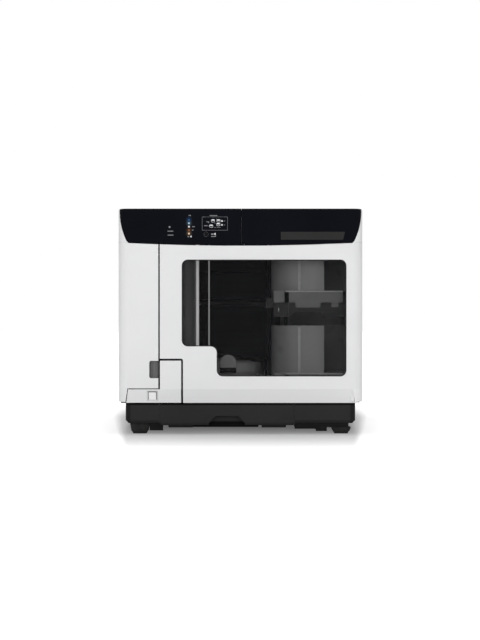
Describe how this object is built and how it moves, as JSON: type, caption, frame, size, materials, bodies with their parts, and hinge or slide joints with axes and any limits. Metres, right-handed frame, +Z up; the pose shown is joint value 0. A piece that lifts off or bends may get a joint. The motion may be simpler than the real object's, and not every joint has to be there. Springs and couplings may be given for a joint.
{
  "type": "disc label printer",
  "caption": "Desktop disc label printer with recorders, an inkjet deck and a swing-arm loader behind a smoked-window door, over a disc drawer in a black base.",
  "frame": {"origin": "middle of the footprint, on the surface that the feet stand on", "axes": "+Z up, the front faces -Y, +X to the right seen from the front"},
  "size_m": [0.377, 0.465, 0.348],
  "materials": {
    "white_shell": "fine-textured off-white moulded plastic",
    "black_gloss": "polished black panel",
    "black_base": "textured black moulded plastic",
    "black_inner": "satin black moulded plastic",
    "grey_inner": "satin grey moulded plastic",
    "smoked_pane": "clear smoked plastic",
    "smoked_cup": "polished grey translucent plastic",
    "zinc_sheet": "zinc-coated sheet steel",
    "ground_steel": "ground steel rod",
    "foot_rubber": "matte rubber",
    "grey_pull": "satin grey plastic",
    "key_white": "polished white plastic",
    "lamp_lens": "clear lens",
    "strip_grey": "polished dark grey strip",
    "tray_black": "satin black tray",
    "gear_white": "natural acetal",
    "arm_grey": "satin grey moulded plastic",
    "board_green": "lacquered circuit board",
    "ink_case": "satin cartridge case",
    "tank_grey": "translucent grey tank",
    "motor_steel": "turned steel can"
  },
  "bodies": {
    "cabinet": {"base_pan": "black_base", "feet": "foot_rubber", "deck_plate": "zinc_sheet", "drawer_runners": "zinc_sheet", "top_frame": "zinc_sheet", "hinge_pins": "ground_steel", "bay_partition": "zinc_sheet", "right_wall": "zinc_sheet", "front_pillar": "grey_inner", "tie_rod": "ground_steel", "left_cover": "white_shell", "right_cover": "white_shell", "grip_pockets": "black_inner", "top_cover": "white_shell", "rear_cover": "white_shell", "control_panel": "black_gloss", "right_panel": "black_gloss", "indicator_strip": "strip_grey", "panel_lamps": "lamp_lens", "panel_board": "board_green", "corner_panel": "white_shell", "power_bezel": "white_shell", "ink_rack": "black_inner", "ink_cartridges": "ink_case", "waste_tank": "tank_grey", "stacker_shelf": "black_inner", "stacker_seat": "black_inner", "drive_cage": "zinc_sheet", "printer_case": "black_inner", "carriage_rod": "ground_steel", "loader_bearing": "gear_white", "swing_motor": "motor_steel", "power_supply": "zinc_sheet", "mains_inlet": "black_inner", "main_board": "board_green", "fan_frame": "black_inner", "drive_case_1": "black_inner", "drive_case_2": "black_inner"},
    "disc_door": {"disc_cover": "white_shell", "cover_window": "smoked_pane"},
    "ink_door": {"ink_cover": "white_shell", "ink_cover_pull": "grey_pull"},
    "drawer": {"disc_drawer": "black_base"},
    "power_key": {"power_button": "key_white"},
    "panel_key": {"panel_button": "black_inner"},
    "upper_stacker": {"stacker_1": "smoked_cup"},
    "lower_stacker": {"stacker_2": "smoked_cup"},
    "low_bin": {"stacker_3": "smoked_cup"},
    "upper_tray": {"drive_tray_1": "tray_black"},
    "lower_tray": {"drive_tray_2": "tray_black"},
    "upper_eject": {"eject_button_1": "black_inner"},
    "lower_eject": {"eject_button_2": "black_inner"},
    "print_tray": {"printer_tray": "tray_black"},
    "head_carriage": {"print_carriage": "grey_inner"},
    "loader_post": {"turret": "arm_grey", "guide_rod": "ground_steel"},
    "loader_head": {"loader_arm": "arm_grey", "disc_gripper": "arm_grey"},
    "motor_pinion": {"swing_pinion": "gear_white"},
    "fan": {"fan_rotor": "black_inner"}
  },
  "joints": [
    {"name": "disc_door_hinge", "type": "hinge", "parent": "cabinet", "child": "disc_door", "pos_m": [0.1735, -0.2175, 0.06], "axis": [0, 0, 1], "range_deg": [0, 110]},
    {"name": "ink_door_hinge", "type": "hinge", "parent": "cabinet", "child": "ink_door", "pos_m": [-0.1735, -0.2175, 0.08], "axis": [0, 0, -1], "range_deg": [0, 100]},
    {"name": "drawer_slide", "type": "slide", "parent": "cabinet", "child": "drawer", "axis": [0, -1, 0], "range_m": [0, 0.18]},
    {"name": "power_press", "type": "slide", "parent": "cabinet", "child": "power_key", "axis": [0, 0.9504, 0.3109], "range_m": [0, 0.0015], "stiffness_N_per_m": 400, "springref_m": -0.0006},
    {"name": "panel_press", "type": "slide", "parent": "cabinet", "child": "panel_key", "axis": [0, 1, 0], "range_m": [0, 0.001], "stiffness_N_per_m": 400, "springref_m": -0.0006},
    {"name": "upper_stacker_pull", "type": "slide", "parent": "cabinet", "child": "upper_stacker", "axis": [0, -1, 0], "range_m": [0, 0.024]},
    {"name": "lower_stacker_pull", "type": "slide", "parent": "cabinet", "child": "lower_stacker", "axis": [0, -1, 0], "range_m": [0, 0.024]},
    {"name": "low_bin_lift", "type": "slide", "parent": "cabinet", "child": "low_bin", "axis": [0, 0, 1], "range_m": [0, 0.012]},
    {"name": "upper_tray_slide", "type": "slide", "parent": "cabinet", "child": "upper_tray", "axis": [0, -1, 0], "range_m": [0, 0.13]},
    {"name": "lower_tray_slide", "type": "slide", "parent": "cabinet", "child": "lower_tray", "axis": [0, -1, 0], "range_m": [0, 0.13]},
    {"name": "upper_eject_press", "type": "slide", "parent": "cabinet", "child": "upper_eject", "axis": [0, 1, 0], "range_m": [0, 0.0012], "stiffness_N_per_m": 400, "springref_m": -0.0006},
    {"name": "lower_eject_press", "type": "slide", "parent": "cabinet", "child": "lower_eject", "axis": [0, 1, 0], "range_m": [0, 0.0012], "stiffness_N_per_m": 400, "springref_m": -0.0006},
    {"name": "print_tray_slide", "type": "slide", "parent": "cabinet", "child": "print_tray", "axis": [0, -1, 0], "range_m": [0, 0.13]},
    {"name": "head_slide", "type": "slide", "parent": "cabinet", "child": "head_carriage", "axis": [1, 0, 0], "range_m": [0, 0.074]},
    {"name": "loader_swing", "type": "hinge", "parent": "cabinet", "child": "loader_post", "pos_m": [0.057, -0.05297, 0.06], "axis": [0, 0, 1], "range_deg": [0, 102.14]},
    {"name": "loader_lift", "type": "slide", "parent": "loader_post", "child": "loader_head", "axis": [0, 0, 1], "range_m": [-0.246, 0]},
    {"name": "pinion_spin", "type": "hinge", "parent": "cabinet", "child": "motor_pinion", "pos_m": [0.076, -0.02006, 0.056], "axis": [0, 0, 1], "range_deg": [-256.35, 1]},
    {"name": "fan_spin", "type": "hinge", "parent": "cabinet", "child": "fan", "pos_m": [0.118, 0.215, 0.236], "axis": [0, 1, 0], "continuous": true}
  ],
  "couplings": [
    {"joint": "pinion_spin", "follows": "loader_swing", "ratio": -2.5}
  ]
}
